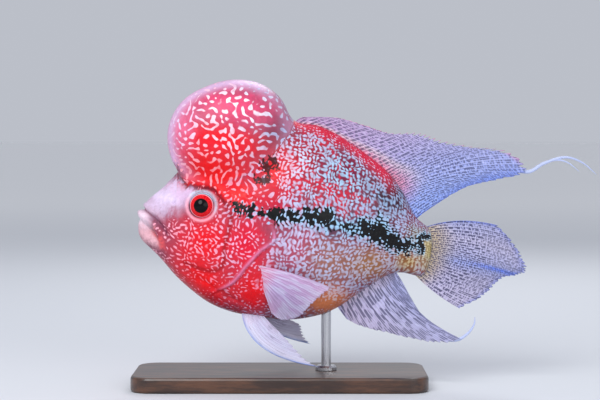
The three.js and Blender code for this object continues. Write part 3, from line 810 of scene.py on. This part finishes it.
for sideName, side in sides.items():
    finForms[f"pelvicFin.{sideName}"] = {
        "node": f"pelvic_fin_{sideName}", "rays": 9, "grid": (90, 60), "ray": 0.8, "tip": 0.4, "web": 0.36,
        "notch": 0.03, "wave": (0.8, 5),
        "stations": [tuple(v * side if k % 3 == 1 else v for k, v in enumerate(row))
            for row in pelvicStations[sideName]],
        "tones": [(0.0, (132, 160, 222)), (0.2, (218, 214, 236)), (0.6, (196, 190, 222)),
            (1.0, (208, 196, 224))],
    }
    finForms[f"pectoralFin.{sideName}"] = {
        "node": f"pectoral_fin_{sideName}", "rays": 15, "grid": (140, 56),
        "ray": 0.38, "tip": 0.34, "web": 0.32, "notch": 0.012, "wave": (0.5, 6), "sink": 3,
        "stations": [(a, side * (flankAt(a, b, side) - 0.5), b, c, side * (flankAt(c, e, side) + d), e,
            f, side * (flankAt(f, h, side) + g), h) for a, b, d, c, e, f, g, h in pectoralRays],
        "tones": [(0.0, (198, 158, 200)), (0.5, (186, 162, 208)), (1.0, (196, 156, 192))],
    }


def finPoint(form, u, s):
    row = through(form["stations"], u)
    root, bend, tip = row[..., 0:3], row[..., 3:6], row[..., 6:9]
    t = np.clip(s, 0, None)[..., None]
    point = (1 - t) ** 2 * root + 2 * t * (1 - t) * bend + t ** 2 * tip
    start = bend - root
    start = start / np.linalg.norm(start, axis=-1, keepdims=True)
    point = point + np.clip(s, None, 0)[..., None] * form["sink"] * start
    lift, waves = form["wave"]
    point[..., 1] += lift * np.clip(s, 0, 1) ** 2 * np.sin(waves * u)
    return point


# Shares of a ray's length where the root ends, rays fork, the edge is ragged and the web thins out
finShape = {"root": 0.06, "fork": (0.45, 0.75), "sharpness": 2.2, "edge": (0.6, 1), "uneven": 0.012,
            "thinEdge": (0.94, 1), "thinning": 0.6}


def doubleSheet(name, across, along):
    # two grids joined along their edges, with places u and v from 0 to 1 and a mark for the back one
    bm = bmesh.new()
    bmesh.ops.create_grid(bm, x_segments=across, y_segments=along, size=0.5)
    edge = [e for e in bm.edges if e.is_boundary]
    back = bmesh.ops.duplicate(bm, geom=bm.verts[:] + bm.edges[:] + bm.faces[:])["geom"]
    backEdge = [e for e in back if isinstance(e, bmesh.types.BMEdge) and e.is_boundary]
    for v in back:
        if isinstance(v, bmesh.types.BMVert):
            v.co.z = -0.01
    bmesh.ops.bridge_loops(bm, edges=edge + backEdge)
    bmesh.ops.recalc_face_normals(bm, faces=bm.faces)
    mesh = meshOf(name, bm)
    flat = corners(mesh)
    return mesh, np.clip(flat[:, 0] + 0.5, 0, 1), np.clip(flat[:, 1] + 0.5, 0, 1), flat[:, 2] < -0.005


def normalsOut(mesh, merge=0.0):
    bm = bmesh.new()
    bm.from_mesh(mesh)
    if merge:
        bmesh.ops.remove_doubles(bm, verts=bm.verts, dist=merge)
    bmesh.ops.recalc_face_normals(bm, faces=bm.faces)
    bm.to_mesh(mesh)
    bm.free()
    mesh.polygons.foreach_set("use_smooth", [True] * len(mesh.polygons))


def makeFin(name, form):
    mesh, u, v, isBack = doubleSheet(name, *form["grid"])
    ray = 0.5 + 0.5 * np.cos(2 * np.pi * u * form["rays"])
    fork = 0.5 + 0.5 * np.cos(4 * np.pi * u * form["rays"])
    root = finShape["root"]
    s = np.where(v < root, v / root - 1, (v - root) / (1 - root))
    split = smooth(*finShape["fork"], s)
    crest = np.maximum(ray ** finShape["sharpness"], split * fork ** finShape["sharpness"])
    # spines stand free of the web along part of the edge, and no two rays end alike
    low, high, depth = form.get("spines", (2, 3, 0))
    free = smooth(low - 0.05, low, u) * smooth(high + 0.05, high, u)
    uneven = 0.5 + 0.5 * np.sin(91 * u) * np.sin(37 * u + 1)
    atEdge = smooth(*finShape["edge"], s)
    reach = 1 - (form["notch"] * (1 - ray) * (0.5 + uneven) + depth * free * (1 - ray ** 3)) * atEdge
    reach -= finShape["uneven"] * uneven * atEdge
    s = np.where(s > 0, s * reach, s)
    tiny = 1e-3
    du = finPoint(form, np.clip(u + tiny, 0, 1), s) - finPoint(form, np.clip(u - tiny, 0, 1), s)
    ds = finPoint(form, u, np.clip(s, 0, 1 - tiny) + tiny) - finPoint(form, u, np.clip(s, 0, 1 - tiny))
    normal = np.cross(du, ds)
    normal /= np.linalg.norm(normal, axis=1, keepdims=True) + 1e-9
    thick = form["ray"] + (form["tip"] - form["ray"]) * np.clip(s, 0, 1)
    half = (form["web"] + (thick - form["web"]) * crest) / 2
    half *= 1 - finShape["thinning"] * smooth(*finShape["thinEdge"], s)
    place = finPoint(form, u, s) + np.where(isBack, 1, -1)[:, None] * normal * half[:, None]
    setCorners(mesh, toRow(place))
    normalsOut(mesh)
    ends = finPoint(form, u, np.ones_like(u)), finPoint(form, u, np.zeros_like(u))
    length = np.linalg.norm(ends[0] - ends[1], axis=1)
    stops = np.array([t[0] for t in form["tones"]])
    colours = np.array([linear(t[1]) for t in form["tones"]])
    tone = np.stack([np.interp(u, stops, colours[:, k]) for k in range(3)], 1)
    for share, rgb in finTints(name, u, s):
        tone = tinted(tone, share, linear(rgb))
    attribute(mesh, "finPlace", "FLOAT_VECTOR", np.stack([u * form["rays"], s * length, s], 1))
    attribute(mesh, "tone", "FLOAT_COLOR", tone)
    attribute(mesh, "crest", "FLOAT", crest)
    return newObject(name, mesh)


def finTints(name, u, s):
    # each fin's own tints: where they lie and how strong they are, and their colour
    if name == "dorsalFin":
        return [(smooth(0.2, 0.0, s) * smooth(0.9, 0.6, u) * 0.8, (222, 96, 120)),
                (np.exp(-((s - 0.16) / 0.07) ** 2) * smooth(0.85, 0.5, u) * 0.4, (226, 190, 176)),
                (smooth(0.93, 1.0, s) * smooth(0.75, 0.6, u), (226, 90, 126)),
                (smooth(0.66, 0.8, u) * smooth(0.5, 1.0, s) * 0.8, (74, 116, 222)),
                (smooth(0.97, 1.0, u), (60, 100, 214))]
    if name == "caudalFin":
        return [(smooth(0.4, 0.02, s) * 0.85, (178, 154, 96)), (smooth(0.04, 0.0, u), (86, 110, 206)),
                (smooth(0.9, 1.0, s) * 0.7, (92, 112, 206)),
                # painted highlight: a blue streak down the middle of the tail fin, where it folds
                (smooth(0.06, 0.0, np.abs(u - 0.52)) * smooth(0.4, 0.8, s), (62, 108, 228))]
    if name == "analFin":
        return [(smooth(0.2, 0.0, s) * 0.5, (212, 192, 208)), (smooth(0.95, 1.0, s) * 0.6, (206, 206, 238)),
                (smooth(0.06, 0.0, u) * 0.5, (110, 132, 206))]
    if name.startswith("pelvic"):
        return [(smooth(0.1, 0.0, u), (98, 134, 216)), (smooth(0.3, 0.0, s) * 0.5, (214, 190, 214))]
    return [(smooth(0.35, 0.0, s) * 0.8, (226, 128, 158)), (smooth(0.8, 1.0, s) * 0.4, (214, 206, 232))]


webTints = {"light": (212, 214, 240), "ray": (224, 222, 244), "dark": (40, 40, 84)}
# how close the dashes stand across and along the rays, where one begins, how dark, clear and ray-lit
webLooks = {
    "dorsalFin": ("dorsalWeb", (1.0, 0.85, 0.45, 0.72, 0.12, 0.22)),
    "caudalFin": ("caudalWeb", (1.0, 0.95, 0.45, 0.85, 0.1, 0.22)),
    "analFin": ("analWeb", (1.0, 0.16, 0.43, 0.72, 0.12, 0.22)),
    "pelvicFin": ("pelvicWeb", (1.2, 0.12, 0.62, 0.3, 0.22, 0.22)),
    "pectoralFin": ("pectoralWeb", (1.0, 0.1, 0.64, 0.12, 0.34, 0.04)),
}
webInputs = ("Across", "Along", "Edge", "Darkness", "Clear", "Ray Glow")


def makeWebGroup():
    # rows of dark dashes between pale rays, clearer towards the fin's edge
    tree = bpy.data.node_groups.new("finWeb", "ShaderNodeTree")
    for name in webInputs:
        tree.interface.new_socket(name, in_out="INPUT", socket_type="NodeSocketFloat")
    for name, kind in (("Color", "NodeSocketColor"), ("Alpha", "NodeSocketFloat"),
            ("Height", "NodeSocketFloat")):
        tree.interface.new_socket(name, in_out="OUTPUT", socket_type=kind)
    given = tree.nodes.new("NodeGroupInput").outputs
    place = levelPlace(tree)
    rays, mm, share = add(tree, "SeparateXYZ", {"Vector": read(tree, "finPlace", "Vector")}).outputs
    bent = plus(rays, swing(noise(place, 0.13, 1.0), 1.1))
    lattice = add(tree, "CombineXYZ", {"X": times(bent, given["Across"]),
            "Y": times(mm, given["Along"])}).outputs[0]
    spots = minus(noise(lattice, 1.0, 0.6), given["Edge"])
    crest = read(tree, "crest", "Fac")
    dark = times(step(spots, 0.0, 0.07), step(crest, 0.75, 0.3, 0.15, 1.0))
    light = step(spots, -0.1, -0.22)
    colour = read(tree, "tone")
    for amount, name in ((times(light, 0.45), "light"),
            (times(crest, given["Ray Glow"]), "ray"),
            (times(dark, given["Darkness"]), "dark")):
        colour = blend(amount, colour, linear(webTints[name]))
    see = step(share, 0.0, 1.0, 1.0, minus(1.0, given["Clear"]))
    alpha = calc("MAXIMUM", see, times(crest, 0.9))
    height = plus(times(noise(lattice, 2.0, 2.0), 0.4), crest)
    results = tree.nodes.new("NodeGroupOutput").inputs
    for name, socket in (("Color", colour), ("Alpha", alpha), ("Height", height)):
        tree.links.new(socket, results[name])
    return tree


webGroup = makeWebGroup()


def finMaterial(name, values):
    made, tree, surface = newMaterial(name, Roughness=0.42, Coat_Weight=0.1, Coat_Roughness=0.2)
    web = add(tree, "Group", node_tree=webGroup)
    for socket, value in zip(webInputs, values):
        web.inputs[socket].default_value = value
    put(surface, "Base Color", web.outputs["Color"])
    put(surface, "Alpha", web.outputs["Alpha"])
    relief(surface, web.outputs["Height"], 0.0003, 0.5)
    return made


finLooks = {fin: finMaterial(*look) for fin, look in webLooks.items()}
# filaments: the line each follows and its radius at the root
threads = {
    "dorsalFin": [
        ([(138, 4.8, 58.4), (155, 5, 56.6), (165, 5, 63.6), (178, 6, 69.4), (190, 8, 67.6),
          (201, 10, 61)], 1.4),
        ([(160, 5, 60.4), (171, 5.4, 66.4), (180, 6, 66.4), (189, 7, 61.4)], 0.8)],
    "analFin": [
        ([(110, -5.4, -58), (123, -6.8, -57.8), (130, -7, -52.6), (133.4, -7, -46),
          (133.2, -7, -41)], 1.3)],
}
threadForm = {"grid": (120, 10), "flatness": 0.7, "taper": 0.6, "tint": (176, 192, 234)}


def makeThread(line, radius):
    # a grid rolled into a tube that narrows to a point
    bm = bmesh.new()
    across, around = threadForm["grid"]
    bmesh.ops.create_grid(bm, x_segments=across, y_segments=around, size=0.5)
    mesh = meshOf("thread", bm)
    flat = corners(mesh)
    u, v = flat[:, 0] + 0.5, 2 * math.pi * (flat[:, 1] + 0.5)
    ahead = through(line, np.clip(u + 0.01, 0, 1)) - through(line, np.clip(u - 0.01, 0, 1))
    ahead /= np.linalg.norm(ahead, axis=1, keepdims=True)
    upward = np.cross(ahead, [0, 1, 0])
    upward /= np.linalg.norm(upward, axis=1, keepdims=True)
    width = radius * np.sqrt(np.clip(u / 0.02, 0, 1)) * (1 - u) ** threadForm["taper"]
    sideways = threadForm["flatness"] * np.sin(v)[:, None] * np.cross(ahead, upward)
    spread = np.cos(v)[:, None] * upward + sideways
    setCorners(mesh, toRow(through(line, u) + width[:, None] * spread))
    normalsOut(mesh, 1e-6)
    count = len(mesh.vertices)
    attribute(mesh, "finPlace", "FLOAT_VECTOR", np.tile([0.5, 0, 1], (count, 1)))
    attribute(mesh, "tone", "FLOAT_COLOR", np.tile(linear(threadForm["tint"]), (count, 1)))
    attribute(mesh, "crest", "FLOAT", np.ones(count))
    return newObject("thread", mesh)


def join(body, parts):
    chosen = [body, *parts]
    with bpy.context.temp_override(active_object=body, object=body, selected_objects=chosen,
                                   selected_editable_objects=chosen):
        bpy.ops.object.join()


for finName, form in finForms.items():
    fin = makeFin(finName, {**finBase, **form})
    if finName in threads:
        join(fin, [makeThread(line, radius) for line, radius in threads[finName]])
    fin.data.materials.append(finLooks[finName.split(".")[0]])
    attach(fin, "root")
    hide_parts(form["node"])
print("fins made")

# Eyes: rings as distances from the axis in millimetres, each where one colour turns into the next
eyeForm = {
    "radius": 9.0, "forward": 6, "upward": 0.04, "lens": 0.5, "lensWidth": 4.2,
    "pupil": (0.003, 0.003, 0.004), "iris": [(196, 8, 20), (236, 40, 48)], "irisFrom": (4.5, 4.8),
    "rings": [((6.9, 7.3), (240, 170, 186)), ((7.5, 7.7), (70, 8, 24))],
    "glowFrom": (7.8, 8.0), "glowHeight": (5, 8), "glow": (176, 222, 240),
}


def eyeMaterial():
    made, tree, surface = newMaterial("eyeLook", Roughness=0.1, Specular_IOR_Level=0.06,
                                      Coat_Weight=0.16, Coat_Roughness=0.03)
    away = read(tree, "ring", "Fac")
    place = levelPlace(tree)
    streak = step(noise(place, 1.4, 3.0, 0.6), 0.35, 0.65)
    iris = blend(streak, *(linear(rgb) for rgb in eyeForm["iris"]))
    colour = blend(step(away, *eyeForm["irisFrom"]), eyeForm["pupil"], iris)
    for (start, full), rgb in eyeForm["rings"]:
        colour = blend(step(away, start, full), colour, linear(rgb))
    up = add(tree, "SeparateXYZ", {"Vector": place}).outputs["Z"]
    crescent = times(step(away, *eyeForm["glowFrom"]), step(up, *eyeForm["glowHeight"]))
    colour = blend(crescent, colour, linear(eyeForm["glow"]))
    put(surface, "Base Color", colour)
    return made


eyeLook = eyeMaterial()
for sideName, side in sides.items():
    low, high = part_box(f"eye_{sideName}")
    centre = Vector(toLevel([(low + high) / 2])[0])
    forward = math.radians(eyeForm["forward"])
    out = Vector((-math.sin(forward), side * math.cos(forward), eyeForm["upward"])).normalized()
    bm = bmesh.new()
    bmesh.ops.create_uvsphere(bm, u_segments=64, v_segments=48, radius=eyeForm["radius"])
    turn = out.to_track_quat("Z", "Y").to_matrix()
    rings = []
    for v in bm.verts:
        away = math.hypot(v.co.x, v.co.y)
        front = v.co.z > 0
        # the lens stands out of the pupil
        if front:
            v.co.z += eyeForm["lens"] * math.exp(-(away / eyeForm["lensWidth"]) ** 2)
        rings.append(away if front else 20.0)
        v.co = centre + turn @ v.co
    eye = meshOf(f"eyeball.{sideName}", bm)
    attribute(eye, "ring", "FLOAT", rings)
    setCorners(eye, toRow(corners(eye)))
    ball = newObject(f"eyeball.{sideName}", eye)
    ball.data.materials.append(eyeLook)
    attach(ball, "root")
    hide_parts(f"eye_{sideName}")
print("eyes made")

# Stand
standLook = {"darkWood": {"dark": (46, 28, 20), "light": (92, 58, 38), "pore": (30, 18, 12)},
             "brushedSteel": {"dark": (168, 168, 172), "light": (214, 214, 218)}}


def woodMaterial():
    made, tree, surface = newMaterial("darkWood", Roughness=0.4, Coat_Weight=0.35, Coat_Roughness=0.2)
    dark, light, pore = (linear(rgb) for rgb in standLook["darkWood"].values())
    place = mapped(ownPlace(tree), (14, 90, 90))
    grain = noise(place, 2.4, 6.0, 0.62)
    pores = step(noise(place, 14.0, 3.0, 0.6), 0.5, 0.75)
    colour = blend(step(grain, 0.35, 0.7), dark, light)
    colour = blend(times(pores, 0.4), colour, pore)
    put(surface, "Base Color", colour)
    relief(surface, grain, 0.0003, 0.35)
    return made


def steelMaterial():
    made, tree, surface = newMaterial("brushedSteel", Metallic=1.0, Roughness=0.28)
    dark, light = (linear(rgb) for rgb in standLook["brushedSteel"].values())
    brush = noise(mapped(ownPlace(tree), (1800, 1800, 30)), 1.0, 2.0)
    put(surface, "Base Color", blend(brush, dark, light))
    put(surface, "Roughness", step(brush, 0.3, 0.7, 0.2, 0.36))
    return made


for nodeName, look in (("stand_base", woodMaterial()), ("stand_rod", steelMaterial())):
    nodes[nodeName].data.materials.clear()
    nodes[nodeName].data.materials.append(look)
print("stand dressed")

# Floor, light and camera
stage = {"size": 150, "near": (0.66, 0.68, 0.72), "far": (0.97, 0.97, 0.97), "fade": (0.2, 3.6),
         "sky": (0.86, 0.9, 1.0, 1), "skyStrength": 0.58}


def makeStage():
    made, tree, surface = newMaterial("paleFloor", Roughness=0.7, Specular_IOR_Level=0.1)
    away = add(tree, "VectorMath", {0: ownPlace(tree)}, operation="LENGTH").outputs["Value"]
    colour = blend(step(away, *stage["fade"]), stage["near"], stage["far"])
    put(surface, "Base Color", colour)
    bm = bmesh.new()
    bmesh.ops.create_grid(bm, x_segments=2, y_segments=2, size=stage["size"])
    mesh = meshOf("floor", bm)
    floor = newObject("floor", mesh)
    mesh.materials.append(made)
    world = bpy.data.worlds.new("studio")
    scene.world = world
    world.use_nodes = True
    background = world.node_tree.nodes["Background"]
    background.inputs["Color"].default_value = stage["sky"]
    background.inputs["Strength"].default_value = stage["skyStrength"]


lamps = {
    "key": {"at": (-0.45, -1.0, 1.0), "size": 0.9, "watts": 14},
    "fill": {"at": (0.8, -1.2, 0.5), "size": 1.0, "watts": 5},
    "rim": {"at": (0.2, 0.9, 0.9), "size": 0.6, "watts": 4},
}
lampTarget = Vector((0.01, 0, 0.11))


def makeLamps():
    for name, lamp in lamps.items():
        light = bpy.data.lights.new(name, "AREA")
        light.shape = "DISK"
        light.size = lamp["size"]
        light.energy = lamp["watts"]
        obj = newObject(name, light)
        obj.location = lamp["at"]
        obj.rotation_euler = (lampTarget - obj.location).to_track_quat("-Z", "Y").to_euler()


view = {"scale": 0.65, "middle": (280, 225), "frame": (600, 400), "away": 1.1, "tilt": 2.0,
        "sensor": 36}


def makeCamera():
    # the photograph's frame laid on the plane of the fish
    wide, high = view["frame"]
    x0 = (wide / 2 - view["middle"][0]) * view["scale"] / 1000
    z0 = (pose["axisHeight"] + (view["middle"][1] - high / 2) * view["scale"]) / 1000
    camera = bpy.data.cameras.new("camera")
    camera.sensor_width = view["sensor"]
    camera.lens = view["sensor"] * view["away"] / (wide * view["scale"] / 1000)
    obj = newObject("camera", camera)
    tilt = math.radians(view["tilt"])
    obj.location = (x0, -view["away"] * math.cos(tilt), z0 + view["away"] * math.sin(tilt))
    obj.rotation_euler = (math.pi / 2 - tilt, 0, 0)
    scene.camera = obj


makeStage()
makeLamps()
makeCamera()
scene.view_settings.view_transform = "Standard"
print("stage set")
